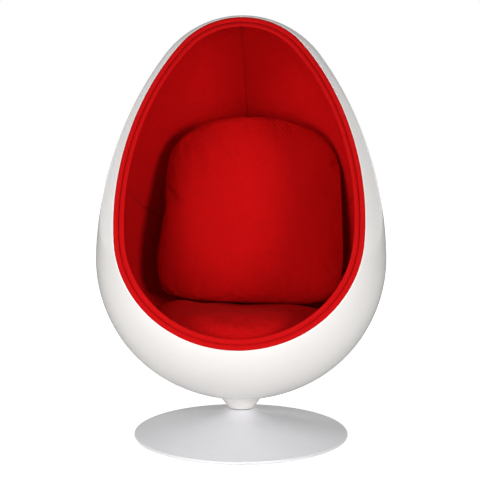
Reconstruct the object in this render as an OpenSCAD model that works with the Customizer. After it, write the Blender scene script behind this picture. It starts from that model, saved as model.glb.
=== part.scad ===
// Pod chair: a leaning egg shell, upholstered inside, that turns freely on a low cone base.
// Millimetres. +Z is up, the opening faces -Y, and the origin is on the floor under the column.

/* [Egg shell] */
// Radius of the widest section
egg_r = 435; // [425:5:445]
// From the widest section up to the tip, along the leaning axis
egg_h = 755; // [730:5:780]
// From the widest section down to the bowl's pole, along the leaning axis
egg_d = 424; // [416:1:428]
// Half angle of the rounded tip's arc, in degrees
tip_span = 57; // [54:0.5:60]
// Half angle of the flattened arc under the bowl, in degrees
pole_span = 28; // [26:0.5:30]
// Lean of the egg's axis towards the back, in degrees
egg_lean = 16; // [14:0.5:18]
// How far the widest section's centre stands in front of the column
egg_front = 20; // [10:1:30]
// Wall of the glass-fibre shell
shell_t = 5; // [4:0.5:7]

/* [Opening] */
// Lean of the opening's plane towards the back, in degrees
mouth_lean = 23.7; // [22:0.1:25]
// From the widest section's centre to the opening's plane
mouth_d = 255.5; // [246:0.5:264]

/* [Upholstery] */
// Foam between the shell and the lining
foam_t = 17; // [12:1:22]
// Lining fabric
lining_t = 2; // [1:0.5:3]
// Distance of the seam round the lining from the widest section's centre
lining_seam_h = 259; // [240:1:275]
// Fall of the seam round the lining towards the back, in degrees
lining_seam_lean = 32; // [28:0.5:36]
// Thickness of the outer welt, out from the shell's inner face
welt_w = 9.2; // [7:0.2:11]
// Thickness of the inner padded roll, beside the welt
roll_w = 11.4; // [9:0.2:13.4]
// How far the welt and the roll reach back from the opening's plane
rim_depth = 15; // [12:1:20]
// How far the welt stands proud of the opening's plane
welt_proud = 3; // [1:0.5:5]
// How far the roll stands proud of the opening's plane
roll_proud = 6; // [3:0.5:8]

/* [Seat] */
// Height of the seat board's upper face under the widest section's centre
board_z = 276; // [265:1:290]
// Thickness of the plywood seat board
board_t = 15; // [12:1:18]
// Fall of the seat board towards the back, in degrees
seat_rake = 4; // [2:0.5:6]
// Room between the seat cushion's sides and the lining
seat_gap_w = 16; // [14:1:30]
// Room between the seat cushion's front and the lining
seat_gap_d = 28; // [26:1:40]
// Thickness of the seat cushion at its crown
seat_t = 124; // [110:2:140]
// How far the seat cushion's centre stands in front of the column
seat_front = 36; // [32:1:40]

/* [Back cushion] */
// Room between the back cushion's upper corners and the lining
back_gap = 3; // [2:0.5:12]
// Half height of the back cushion
back_half_h = 309; // [290:1:314]
// Thickness of the back cushion at its crown
back_t = 150; // [130:2:160]
// Lean of the back cushion, in degrees
back_lean = 15; // [14:0.5:17]
// Shift of the back cushion towards +X, from the chair's middle
back_shift = 22; // [10:1:25]
// Turn of the back cushion's top towards +X, in degrees
back_roll = 1.2; // [0:0.1:2]
// Distance of the back cushion's lower end behind the column
back_y = 105; // [95:1:110]

/* [Base] */
// Radius of the cone base over its rolled edge
base_r = 328; // [310:2:346]
// Height of the base up to its neck
base_h = 81.4; // [79:0.2:85]
// Outer radius of the neck
neck_r = 40; // [38:0.5:43]
// Slope of the cone at the neck, in degrees
neck_slope = 32; // [30:0.5:34]
// Radius of the flare that turns the cone up into the neck
flare_r = 200; // [170:5:230]
// Wall of the spun cone
cone_t = 2.5; // [2:0.1:3]
// Radius of the rolled bead along the cone's edge
bead_r = 4; // [3.5:0.1:4.5]
// Thickness of the steel floor plate
plate_t = 6; // [5:0.5:8]
// Thickness of the glide ring
glide_t = 3; // [2:0.5:4]
// Width of the glide ring
glide_w = 18; // [12:1:24]
// Thickness of the ballast ring
ballast_t = 16; // [12:1:18]
// Width of the ballast ring
ballast_w = 90; // [70:2:100]

/* [Swivel] */
// Radius of the spindle in its bushes
spindle_r = 14; // [12:0.5:15]
// Radius of the spindle's thick upper part
hub_r = 24; // [20:0.5:26]
// Wall of the column tube
column_t = 7; // [5:0.5:8]
// Wall of the bushes
bush_t = 3; // [2:0.5:4]
// Length of the lower bush
lower_bush_h = 22; // [16:1:26]
// Length of the upper bush
upper_bush_h = 24; // [18:1:30]
// Diameter of the thrust bearing's balls
ball_d = 6; // [5:0.5:6.5]
// Number of balls
ball_count = 16; // [12:1:18]
// Thickness of each thrust race
race_t = 2.5; // [2:0.1:3]
// Open gap between the base's neck and the collar
neck_gap = 2.5; // [1.5:0.1:3.5]
// Height of the collar, from its lower edge to the shell above the column
collar_h = 37.4; // [34:0.2:42]
// Slope of the collar's side from upright, in degrees
collar_slope = 36; // [33:0.5:39]
// Wall of the collar
collar_t = 3; // [2.5:0.1:3.5]

/* [Seat mounting] */
// Height of the mounting pad's flat top above the shell at the outermost insert
pad_h = 28.4; // [24:0.2:34]
// Side of the square swivel plate
swivel_plate_w = 170; // [150:2:190]
// Thickness of the swivel plate
swivel_plate_t = 8; // [6:0.5:10]
// Distance between neighbouring mounting bolts
mount_pitch = 120; // [104:2:130]
// Radius of the mounting bolts
mount_bolt_r = 5; // [4:0.5:6]

/* [Hidden] */
// Smoothness of round faces
$fn = 96;
// Smoothness of the egg's faces
egg_steps = 240;
// Turn of the egg about its own axis, so that its faces start clear of every cut
egg_turn = -60;
// Overrun of every cut past the face that it opens
over = 1;
// Gap of one soft or hand-fitted piece to its neighbour
soft_gap = 0.3;
// Radial clearance of the spindle in its bushes
running_play = 0.05;
// End play between turning and standing faces
side_play = 0.1;

// Egg: an arc at each end and a longer arc beside it, each tangent to the next
tip_c = (egg_h - egg_r) / (1 + tan(tip_span) - 1 / cos(tip_span));
tip_r = egg_h - tip_c;
side_c = -tip_c * tan(tip_span);
side_r = egg_r - side_c;
pole_c = (egg_r - egg_d) / (1 + tan(pole_span) - 1 / cos(pole_span));
pole_r = egg_d + pole_c;
bowl_c = pole_c * tan(pole_span);
bowl_r = egg_r - bowl_c;
collar_z = base_h + neck_gap;
under_way = egg_front - pole_c * sin(egg_lean);
pole_z = collar_z + collar_h + sqrt(pole_r * pole_r - under_way * under_way);
egg_z = pole_z - pole_c * cos(egg_lean);
span = 2 * egg_h;

// Insets of the layers from the shell's outer face
foam_in = shell_t;
lining_out = shell_t + foam_t;
lining_in = lining_out + lining_t;
liner_depth = rim_depth + soft_gap;

// Base
plate_top = glide_t + plate_t;
bead_z = plate_top - 3 / 4 * bead_r;
bead_c = [base_r - bead_r, bead_z];
flare_c = [neck_r + flare_r * sin(neck_slope), base_h + flare_r * cos(neck_slope)];
bead_way = flare_c - bead_c;
cone_slope = acos((flare_r + bead_r) / norm(bead_way)) + atan2(bead_way[0], bead_way[1]);
cone_up = [sin(cone_slope), cos(cone_slope)];
cone_foot = bead_c + bead_r * cone_up;
cone_top = flare_c - flare_r * cone_up;
plate_edge_rise = plate_top + soft_gap + cone_t / cos(cone_slope) - cone_foot[1];
plate_r = cone_foot[0] - plate_edge_rise / tan(cone_slope);
plate_hole_r = spindle_r + 2 * bush_t;
glide_out = plate_r - glide_w / 4;
ballast_out = plate_r - (ballast_t + 2 * cone_t) / tan(cone_slope);
ballast_in = ballast_out - ballast_w;

// Column and swivel
bush_in = spindle_r + running_play;
bush_out = bush_in + bush_t;
column_r = bush_out + column_t;
stack_h = 2 * race_t + ball_d + 4 * running_play;
column_top = collar_z + race_t / 2 - stack_h;
neck_bore = neck_inner(cone_t);
head_r = neck_bore - soft_gap;
head_t = race_t + ball_d;
flange_r = 2.6 * column_r;
flange_t = 8;
column_screw_r = 4;
column_screw_circle = (column_r + flange_r) / 2;
column_screw_count = 4;
circlip_t = 1.5;
race_play = 1;
circlip_z = plate_top + circlip_t;
washer_t = 2;
washer_z = circlip_z + circlip_t + side_play;
lower_bush_z = washer_z + washer_t + side_play;
upper_bush_z = column_top - upper_bush_h;
race_in = spindle_r + race_play;
race_out = head_r - race_play;
ball_circle = (race_in + race_out) / 2;
ball_z = column_top + race_t + running_play + ball_d / 2;
upper_race_z = ball_z + ball_d / 2 + running_play;
shoulder_z = upper_race_z + race_t;
cage_t = ball_d / 4;
cage_w = (race_out - race_in) / 2;

// Seat mounting
hub_play = 1.5;
hub_bore_r = hub_r + hub_play;
washer_r = 2 * mount_bolt_r;
washer_plate_t = mount_bolt_r / 2.5;
head_h = 1.3 * mount_bolt_r;
insert_r = 1.6 * mount_bolt_r;
insert_h = 4 * mount_bolt_r;
mount_far = norm([mount_pitch / 2, mount_pitch / 2 + under_way]) + insert_r;
pad_top = pole_z - sqrt(pow(pole_r - shell_t, 2) - mount_far * mount_far) + pad_h;
swivel_plate_top = pad_top + swivel_plate_t;
swivel_corner_r = 14;
collar_run = [sin(collar_slope), cos(collar_slope)];
collar_way = [neck_r + under_way, collar_z - pole_z];
collar_reach = -collar_way * collar_run
    - sqrt(pow(collar_way * collar_run, 2) - collar_way * collar_way + pole_r * pole_r);
collar_top = collar_reach + soft_gap;

// Soft forms
rim_steps = 84;
rim_sides = 10;
rim_power = 3;
cushion_steps = 50;
cushion_rings = 24;
side_power = 3;
crown_power = 2.6;
seat_corner_power = 2.15;
back_corner_power = 4.6;
back_taper_share = 0.09;
back_arch_share = 0.14;
seat_waist_share = 0.4;
seat_waist = seat_waist_share * seat_t;
seat_room = room_half(-seat_front, board_z + seat_waist);
seat_half = [seat_room - seat_gap_w, seat_room - seat_gap_d];
back_drop = 1.7;
back_bottom = seat_top_at(back_y) - back_drop;
back_corner_shares = [0.886, 0.59, 0.2];
back_corner_up = (1 + back_corner_shares[1]) * back_half_h;
back_corner_y = back_y + back_corner_up * sin(back_lean) + back_corner_shares[2] * back_t;
back_corner_x = room_half(back_corner_y, back_bottom + back_corner_up * cos(back_lean));
back_half = [(back_corner_x - back_shift - back_gap) / back_corner_shares[0], back_half_h];

// Egg form

// Quarter of the egg's section: an end arc about a centre on the axis, and the flank arc
// that it meets at an angle from the axis, with the outline moved in by inset
module egg_quarter(end_c, end_r, flank_c, flank_r, angle, inset) {
    join = span * [sin(angle), cos(angle)];
    intersection() {
        square([span, span]);
        translate([0, end_c])
            circle(r = end_r - inset);
        translate([0, end_c])
            polygon([[0, 0], join, [0, 2 * span]]);
    }
    intersection() {
        square([span, span]);
        translate([flank_c, 0])
            circle(r = flank_r - inset);
        translate([0, end_c])
            polygon([[0, 0], join, [2 * span, -span], [0, -span]]);
    }
}

// Right half of the egg's section, with its outline moved in by inset
module egg_section(inset) {
    egg_quarter(tip_c, tip_r, side_c, side_r, tip_span, inset);
    mirror([0, 1])
        egg_quarter(-pole_c, pole_r, bowl_c, bowl_r, pole_span, inset);
}

// Moves a form from the egg's own axis to its place in the chair
module egg_place() {
    translate([0, -egg_front, egg_z])
        rotate([-egg_lean, 0, 0])
            children();
}

// Egg with its face moved in by inset
module egg(inset) {
    egg_place()
        rotate([0, 0, egg_turn])
            rotate_extrude($fn = egg_steps)
                egg_section(inset, $fn = egg_steps);
}

// Moves a form from the opening's own plane to its place in the chair
module mouth_place() {
    translate([0, -egg_front, egg_z])
        rotate([-mouth_lean, 0, 0])
            children();
}

// All that lies more than depth behind the opening's plane
module behind_mouth(depth) {
    mouth_place()
        translate([-span, depth - mouth_d, -span])
            cube([2 * span, 2 * span, 2 * span]);
}

// All that lies above the seat board's plane, moved down by drop
module above_board(drop) {
    translate([0, -egg_front, board_z])
        rotate([-seat_rake, 0, 0])
            translate([-span, -span, -drop])
                cube([2 * span, 2 * span, 2 * span]);
}

// Wall between two insets, from the seat board up to the rim's back
module liner(outer, inner) {
    intersection() {
        difference() {
            egg(outer);
            egg(inner);
        }
        behind_mouth(liner_depth);
        above_board(0);
    }
}

// Radius of the egg at a height along its axis, clear of the bowl's pole
function egg_radius(along, inset) =
    along <= 0 ? bowl_c + sqrt(max(pow(bowl_r - inset, 2) - along * along, 0)) :
    along < tip_c + (tip_r - inset) * cos(tip_span) ?
        side_c + sqrt(pow(side_r - inset, 2) - along * along) :
    sqrt(max(pow(tip_r - inset, 2) - pow(along - tip_c, 2), 0));

// Half width of the room inside the lining, at a place behind the column and a height
function room_half(y, z) =
    let (along = (y + egg_front) * sin(egg_lean) + (z - egg_z) * cos(egg_lean))
    let (across = (y + egg_front) * cos(egg_lean) - (z - egg_z) * sin(egg_lean))
    sqrt(pow(egg_radius(along, lining_in), 2) - across * across);

// Point of the egg's cut by a plane parallel to the opening, at a turn round the opening
function mouth_point(turn, inset, depth) =
    let (off = mouth_d - depth)
    let (bend = mouth_lean - egg_lean)
    let (low = -bowl_c * sin(bend) - sqrt(pow(bowl_r - inset, 2) - pow(off - bowl_c * cos(bend), 2)))
    let (high = tip_c * cos(bend) + sqrt(pow(tip_r - inset, 2) - pow(off - tip_c * sin(bend), 2)))
    let (up = (high + low) / 2 - (high - low) / 2 * cos(turn))
    let (along = off * sin(bend) + up * cos(bend))
    let (across = up * sin(bend) - off * cos(bend))
    let (side = sqrt(max(pow(egg_radius(along, inset), 2) - across * across, 0)))
    [sign(sin(turn)) * side, -off, up];

// Soft forms

// Signed power, which squares a round outline up
function bulge(value, power) = sign(value) * pow(abs(value), 2 / power);

// Closed skin over rings of points, each with the same number of points
function ring_faces(rings, steps, closed) = [
    for (i = [0 : rings - (closed ? 1 : 2)])
        for (j = [0 : steps - 1])
            let (a = i * steps + j)
            let (b = i * steps + (j + 1) % steps)
            let (c = ((i + 1) % rings) * steps + (j + 1) % steps)
            let (d = ((i + 1) % rings) * steps + j)
            for (face = [[a, c, b], [a, d, c]])
                face
];

// Padded edging round the opening, between two insets, rounded on its front
module rim_form(outer, inner, proud) {
    points = [
        for (i = [0 : rim_steps - 1])
            for (j = [0 : rim_sides - 1])
                let (turn = 360 * j / rim_sides)
                let (inset = (outer + inner) / 2 + (inner - outer) / 2 * bulge(cos(turn), rim_power))
                let (depth = (rim_depth - proud) / 2 + (rim_depth + proud) / 2 * bulge(sin(turn), rim_power))
                mouth_point(360 * (i + 1 / 2) / rim_steps, inset, depth)
    ];
    mouth_place()
        polyhedron(points, ring_faces(rim_steps, rim_sides, true));
}

// Cushion: a squared outline swept from one face's middle over the side to the other's
// half is its half width and half length, crown its height over the widest line,
// taper narrows its upper end, arch rounds that end, and flat is its lowest level
module cushion(half, crown, power, taper, arch, flat) {
    rings = [
        for (i = [1 : cushion_rings - 1])
            let (tilt = 180 * i / cushion_rings)
            for (j = [0 : cushion_steps - 1])
                let (turn = 360 * j / cushion_steps)
                let (x = half[0] * bulge(cos(turn), power))
                let (y = half[1] * bulge(sin(turn), power))
                let (reach = bulge(sin(tilt), side_power))
                let (rise = max(y, 0) * arch * pow(reach * x / half[0], 2))
                [
                    x * reach * (1 - taper * y * reach / half[1]),
                    (y - rise) * reach,
                    max(crown * bulge(cos(tilt), crown_power), flat)
                ]
    ];
    count = len(rings);
    points = concat(rings, [[0, 0, crown], [0, 0, max(-crown, flat)]]);
    last = count - cushion_steps;
    caps = [
        for (j = [0 : cushion_steps - 1])
            let (next = (j + 1) % cushion_steps)
            for (face = [[count, j, next], [count + 1, last + next, last + j]])
                face
    ];
    polyhedron(points, concat(ring_faces(cushion_rings - 1, cushion_steps, false), caps));
}

// Base outline

// Radius of the cone's neck at its top, with the face moved in by inset
function neck_inner(inset) =
    flare_c[0] - sqrt(pow(flare_r + inset, 2) - pow(flare_c[1] - base_h, 2));

// Half section under the cone's face, moved in by inset
module cone_section(inset) {
    difference() {
        polygon([
            [0, bead_z],
            [cone_foot[0] - inset, bead_z],
            cone_foot - inset * cone_up,
            cone_top - inset * cone_up,
            [neck_inner(inset), base_h],
            [0, base_h]
        ]);
        translate(flare_c)
            circle(r = flare_r + inset, $fn = egg_steps);
    }
}

// Flat ring from z up by height
module ring(outer, inner, z, height) {
    translate([0, 0, z])
        difference() {
            cylinder(r = outer, h = height);
            translate([0, 0, -over])
                cylinder(r = inner, h = height + 2 * over);
        }
}

// Copies of a form round the column
module round_array(count, radius, start) {
    for (i = [0 : count - 1])
        rotate([0, 0, start + 360 * i / count])
            translate([radius, 0, 0])
                children();
}

// Copies of a form at the four mounting bolts
module at_mounts() {
    for (x = [-1, 1], y = [-1, 1])
        translate([x * mount_pitch / 2, y * mount_pitch / 2, 0])
            children();
}

// Flat-headed screw, driven up from the plate's underside
module flat_screw(radius, top) {
    translate([0, 0, glide_t])
        cylinder(r1 = 2 * radius, r2 = radius, h = radius);
    translate([0, 0, glide_t + radius])
        cylinder(r = radius, h = top - glide_t - radius);
}

// Places of the ballast ring's screws
module at_ballast() {
    round_array(column_screw_count, (ballast_in + ballast_out) / 2, 0)
        children();
}

// Places of the column's screws
module at_column() {
    round_array(column_screw_count, column_screw_circle, 45)
        children();
}

// Base pieces

module glide_ring() {
    color("#2b2b2b")
        ring(glide_out, glide_out - glide_w, 0, glide_t);
}

module floor_plate() {
    color("#5c6064")
        difference() {
            ring(plate_r, plate_hole_r, glide_t, plate_t);
            at_column()
                flat_screw(column_screw_r, plate_top + over);
            at_ballast()
                flat_screw(column_screw_r, plate_top + over);
        }
}

module access_cap() {
    color("#2b2b2b") {
        cylinder(r = plate_hole_r + 2 * glide_t, h = glide_t);
        translate([0, 0, glide_t])
            cylinder(r = plate_hole_r, h = plate_t / 2);
    }
}

module base_cone() {
    color("#dcdddf")
        rotate_extrude() {
            difference() {
                cone_section(0);
                cone_section(cone_t);
            }
            translate(bead_c)
                circle(r = bead_r);
        }
}

module ballast_ring() {
    color("#3c3d40")
        difference() {
            ring(ballast_out, ballast_in, plate_top, ballast_t);
            at_ballast()
                translate([0, 0, plate_top - over])
                    cylinder(r = column_screw_r, h = ballast_t * 3 / 4 + over);
        }
}

module ballast_screws() {
    color("#8c8f93")
        at_ballast()
            flat_screw(column_screw_r, plate_top + ballast_t * 3 / 4);
}

module column() {
    color("#6f7377")
        difference() {
            union() {
                translate([0, 0, plate_top])
                    cylinder(r = flange_r, h = flange_t);
                translate([0, 0, plate_top])
                    cylinder(r = column_r, h = column_top - plate_top);
                translate([0, 0, column_top - head_t])
                    cylinder(r1 = column_r, r2 = head_r, h = head_t / 2);
                translate([0, 0, column_top - head_t / 2])
                    cylinder(r = head_r, h = head_t / 2);
            }
            translate([0, 0, plate_top - over])
                cylinder(r = bush_out, h = column_top - plate_top + 2 * over);
            at_column()
                translate([0, 0, plate_top - over])
                    cylinder(r = column_screw_r, h = flange_t + 2 * over);
        }
}

module column_screws() {
    color("#8c8f93")
        at_column()
            flat_screw(column_screw_r, plate_top + flange_t);
}

module lower_bush() {
    color("#e6e2d6")
        ring(bush_out, bush_in, lower_bush_z, lower_bush_h);
}

module upper_bush() {
    color("#e6e2d6")
        ring(bush_out, bush_in, upper_bush_z, upper_bush_h);
}

module lower_race() {
    color("#b9bcc0")
        ring(race_out, race_in, column_top, race_t);
}

module ball_cage() {
    color("#b08d4a")
        difference() {
            ring(ball_circle + cage_w / 2, ball_circle - cage_w / 2, ball_z - cage_t / 2, cage_t);
            round_array(ball_count, ball_circle, 0)
                translate([0, 0, ball_z - cage_t])
                    cylinder(r = ball_d / 2 + 2 * running_play, h = 2 * cage_t);
        }
}

module bearing_balls() {
    color("#cfd2d6")
        round_array(ball_count, ball_circle, 0)
            translate([0, 0, ball_z])
                sphere(r = ball_d / 2);
}

// Cone along the collar's slope from a radius at its foot, longer by extra at both ends
module collar_cone(foot, extra) {
    low = -extra * collar_run;
    high = (collar_top + extra) * collar_run;
    translate([0, 0, low[1]])
        cylinder(r1 = foot + low[0], r2 = foot + high[0], h = high[1] - low[1]);
}

// Seat pieces

module upper_race() {
    color("#b9bcc0")
        ring(race_out, race_in, upper_race_z, race_t);
}

module spindle() {
    color("#9da1a6")
        difference() {
            union() {
                translate([0, 0, plate_top + side_play])
                    cylinder(r = spindle_r, h = swivel_plate_top - plate_top - side_play);
                translate([0, 0, shoulder_z])
                    cylinder(r = hub_r, h = pad_top - shoulder_z);
            }
            ring(2 * spindle_r, spindle_r - circlip_t, circlip_z, circlip_t);
        }
}

module spindle_washer() {
    color("#b9bcc0")
        ring(bush_out - side_play, bush_in, washer_z, washer_t);
}

module spindle_circlip() {
    color("#4a4c50")
        difference() {
            ring(bush_out - side_play, spindle_r - circlip_t, circlip_z, circlip_t);
            translate([0, -circlip_t, circlip_z - over])
                cube([2 * spindle_r, 2 * circlip_t, circlip_t + 2 * over]);
        }
}

module swivel_plate() {
    inner = swivel_plate_w / 2 - swivel_corner_r;
    color("#6f7377")
        translate([0, 0, pad_top])
            linear_extrude(swivel_plate_t)
                difference() {
                    union() {
                        square([2 * inner, swivel_plate_w], center = true);
                        square([swivel_plate_w, 2 * inner], center = true);
                        for (x = [-inner, inner], y = [-inner, inner])
                            translate([x, y])
                                circle(r = swivel_corner_r);
                    }
                    circle(r = spindle_r);
                    at_mounts()
                        circle(r = mount_bolt_r + side_play);
                }
}

module mounting_pad() {
    color("#c9a66b")
        difference() {
            intersection() {
                egg(shell_t);
                translate([-egg_r, -egg_r - egg_front, 0])
                    cube([2 * egg_r, 2 * egg_r, pad_top]);
            }
            cylinder(r = hub_bore_r, h = pad_top + over);
            at_mounts()
                translate([0, 0, pad_top - insert_h])
                    cylinder(r = insert_r, h = insert_h + over);
        }
}

module threaded_inserts() {
    color("#b08d4a")
        at_mounts()
            ring(insert_r, mount_bolt_r, pad_top - insert_h, insert_h);
}

module mounting_bolts() {
    color("#8c8f93")
        at_mounts() {
            translate([0, 0, pad_top - insert_h + over])
                cylinder(r = mount_bolt_r, h = insert_h - over + swivel_plate_t + washer_plate_t);
            translate([0, 0, swivel_plate_top + washer_plate_t])
                cylinder(r = 1.8 * mount_bolt_r, h = head_h, $fn = 6);
        }
}

module mounting_washers() {
    color("#b9bcc0")
        at_mounts()
            ring(washer_r, mount_bolt_r + side_play, swivel_plate_top, washer_plate_t);
}

module neck_collar() {
    bore = neck_r - collar_t / cos(collar_slope);
    color("#f4f3f0")
        difference() {
            translate([0, 0, collar_z])
                collar_cone(neck_r, 0);
            translate([0, 0, collar_z])
                collar_cone(bore, over);
            egg(0);
        }
}

module outer_shell() {
    color("#f4f3f0")
        difference() {
            intersection() {
                difference() {
                    egg(0);
                    egg(shell_t);
                }
                behind_mouth(0);
            }
            cylinder(r = hub_bore_r, h = pad_top);
        }
}

module seat_board() {
    color("#c9a66b")
        difference() {
            intersection() {
                egg(shell_t);
                above_board(board_t);
            }
            above_board(0);
        }
}

module liner_foam() {
    color("#e3d9b8")
        liner(foam_in, lining_out);
}

// Quarter of the lining: side is -1 for left or 1 for right
module lining_panel(side, upper) {
    intersection() {
        liner(lining_out, lining_in);
        translate([side < 0 ? -span : 0, -span, 0])
            cube([span, 2 * span, 2 * span]);
        translate([0, -egg_front, egg_z])
            rotate([-lining_seam_lean, 0, 0])
                translate([-span, -span, upper ? lining_seam_h : lining_seam_h - 2 * span])
                    cube([2 * span, 2 * span, 2 * span]);
    }
}

module lining_upper_left() {
    color("#b3090b")
        lining_panel(-1, true);
}

module lining_upper_right() {
    color("#b3090b")
        lining_panel(1, true);
}

module lining_lower_left() {
    color("#a80a0c")
        lining_panel(-1, false);
}

module lining_lower_right() {
    color("#a80a0c")
        lining_panel(1, false);
}

module rim_welt() {
    color("#cc1414")
        rim_form(shell_t + soft_gap, shell_t + welt_w, welt_proud);
}

module rim_roll() {
    color("#cc1414")
        rim_form(shell_t + welt_w + soft_gap, shell_t + welt_w + roll_w, roll_proud);
}

module seat_cushion() {
    color("#b80c0e")
        translate([0, -egg_front, board_z])
            rotate([-seat_rake, 0, 0])
                translate([0, egg_front - seat_front, seat_waist])
                    cushion(
                        seat_half,
                        seat_t - seat_waist,
                        seat_corner_power,
                        0,
                        0,
                        soft_gap - seat_waist
                    );
}

// Height of the seat cushion's crown plane at a distance behind the column
function seat_top_at(y) = board_z + seat_t / cos(seat_rake) - (y + egg_front) * tan(seat_rake);

module back_cushion() {
    color("#b80c0e")
        translate([back_shift, back_y, back_bottom])
            rotate([90 - back_lean, 0, 0])
                rotate([0, 0, -back_roll])
                    translate([0, back_half_h, 0])
                        cushion(
                            back_half,
                            back_t / 2,
                            back_corner_power,
                            back_taper_share,
                            back_arch_share,
                            -back_t
                        );
}

glide_ring();
floor_plate();
access_cap();
base_cone();
ballast_ring();
ballast_screws();
column();
column_screws();
lower_bush();
upper_bush();
lower_race();
ball_cage();
bearing_balls();
upper_race();
spindle();
spindle_washer();
spindle_circlip();
swivel_plate();
mounting_pad();
threaded_inserts();
mounting_bolts();
mounting_washers();
neck_collar();
outer_shell();
seat_board();
liner_foam();
lining_upper_left();
lining_upper_right();
lining_lower_left();
lining_lower_right();
rim_welt();
rim_roll();
seat_cushion();
back_cushion();
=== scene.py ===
import math

import bmesh
import bpy
import numpy as np
from bpy.props import FloatProperty, FloatVectorProperty, PointerProperty
from bpy.types import Operator, Panel, PropertyGroup
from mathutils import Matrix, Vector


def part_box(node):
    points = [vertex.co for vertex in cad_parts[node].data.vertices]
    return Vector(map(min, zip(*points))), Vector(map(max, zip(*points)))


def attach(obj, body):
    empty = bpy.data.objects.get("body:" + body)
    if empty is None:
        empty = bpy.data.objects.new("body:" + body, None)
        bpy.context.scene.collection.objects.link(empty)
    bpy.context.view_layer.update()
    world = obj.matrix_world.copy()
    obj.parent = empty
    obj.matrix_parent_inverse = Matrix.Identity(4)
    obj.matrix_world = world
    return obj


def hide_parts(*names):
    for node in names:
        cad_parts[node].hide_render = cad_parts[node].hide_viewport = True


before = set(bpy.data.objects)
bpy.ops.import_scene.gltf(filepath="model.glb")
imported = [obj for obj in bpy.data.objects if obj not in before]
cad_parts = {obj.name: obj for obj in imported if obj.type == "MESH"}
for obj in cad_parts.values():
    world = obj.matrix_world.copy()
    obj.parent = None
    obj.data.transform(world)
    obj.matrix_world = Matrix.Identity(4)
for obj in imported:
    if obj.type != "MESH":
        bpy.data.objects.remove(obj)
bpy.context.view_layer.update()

bl_info = {
    "name": "Pod chair",
    "version": (1, 0, 0),
    "blender": (4, 5, 0),
    "location": "3D View > Sidebar > Pod chair",
    "description": "Shell, upholstery, loose cushions and studio of an egg-shaped lounge chair",
    "category": "Object",
}

# Side of the upright seam and side of the seam round the lining on which each quarter lies
LINING_NODES = {
    "lining_upper_left": (-1, 1),
    "lining_upper_right": (1, 1),
    "lining_lower_left": (-1, -1),
    "lining_lower_right": (1, -1),
}
# Points nearer to each other than this are merged, in metres
MERGE = 1e-6
# Cloth that goes with each radian round the opening, in metres
CLOTH_TURN = 0.42
# Points along each side of a cushion's net
NET_STEPS = 97
# Spacing of a wave texture's ridges at scale 1
RIDGE_PITCH = math.pi / 10
# Point that the studio's lights are turned to, and each light's place and width
LIGHTS_AIM = (0, 0, 0.7)
LIGHTS = {
    "high": ((-1.4, -2.7, 2.3), 1.1),
    "left": ((-2.1, -2.3, 1.1), 1.3),
    "right": ((1.9, -2.55, 1.1), 1.0),
    "low": ((-1.1, -2.95, 0.50), 0.95),
    "front": ((0.4, -3.4, 1.1), 0.8),
}


# Settings


def linear(code):
    """Linear red, green and blue of an sRGB hex colour."""
    values = [int(code[k:k + 2], 16) / 255 for k in (1, 3, 5)]
    return tuple(v / 12.92 if v <= 0.04045 else ((v + 0.055) / 1.055) ** 2.4 for v in values)


def length(name, description, metres):
    """Property for a length."""
    return FloatProperty(name=name, description=description, default=metres, precision=4, unit="LENGTH")


def slope(name, description, degrees):
    """Property for an angle."""
    return FloatProperty(name=name, description=description, default=math.radians(degrees), unit="ROTATION")


def share(name, description, value):
    """Property for a plain number."""
    return FloatProperty(name=name, description=description, default=value, precision=3)


def power(name, description, watts):
    """Property for a light's power."""
    return FloatProperty(name=name, description=description, default=watts, unit="POWER")


def paint(name, description, code):
    """Property for a colour, given as sRGB hex."""
    return FloatVectorProperty(name=name, description=description, default=linear(code), subtype="COLOR")


class ShellSettings(PropertyGroup):
    radius: length("Radius", "Radius of the egg's widest section", 0.435)
    rise: length("Rise", "From the widest section up to the tip, along the leaning axis", 0.755)
    fall: length("Fall", "From the widest section down to the pole, along the leaning axis", 0.424)
    tip_angle: slope("Tip arc", "Half angle of the tip's arc", 57)
    pole_angle: slope("Pole arc", "Half angle of the arc under the bowl", 28)
    lean: slope("Lean", "Lean of the egg's axis towards the back", 16)
    forward: length("Forward", "How far the widest section's centre stands in front of the column", 0.020)
    mouth_lean: slope("Opening's lean", "Lean of the opening's plane towards the back", 23.7)
    mouth_front: length("Opening", "From the widest section's centre to the opening's plane", 0.2555)
    wall: length("Wall", "Wall of the glass-fibre shell", 0.005)
    lip_round: length("Lip round", "Round on the corners of the shell's cut edge", 0.0014)
    gel_colour: paint("Gel coat", "Colour of the gel coat", "#E6E3E0")


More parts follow.
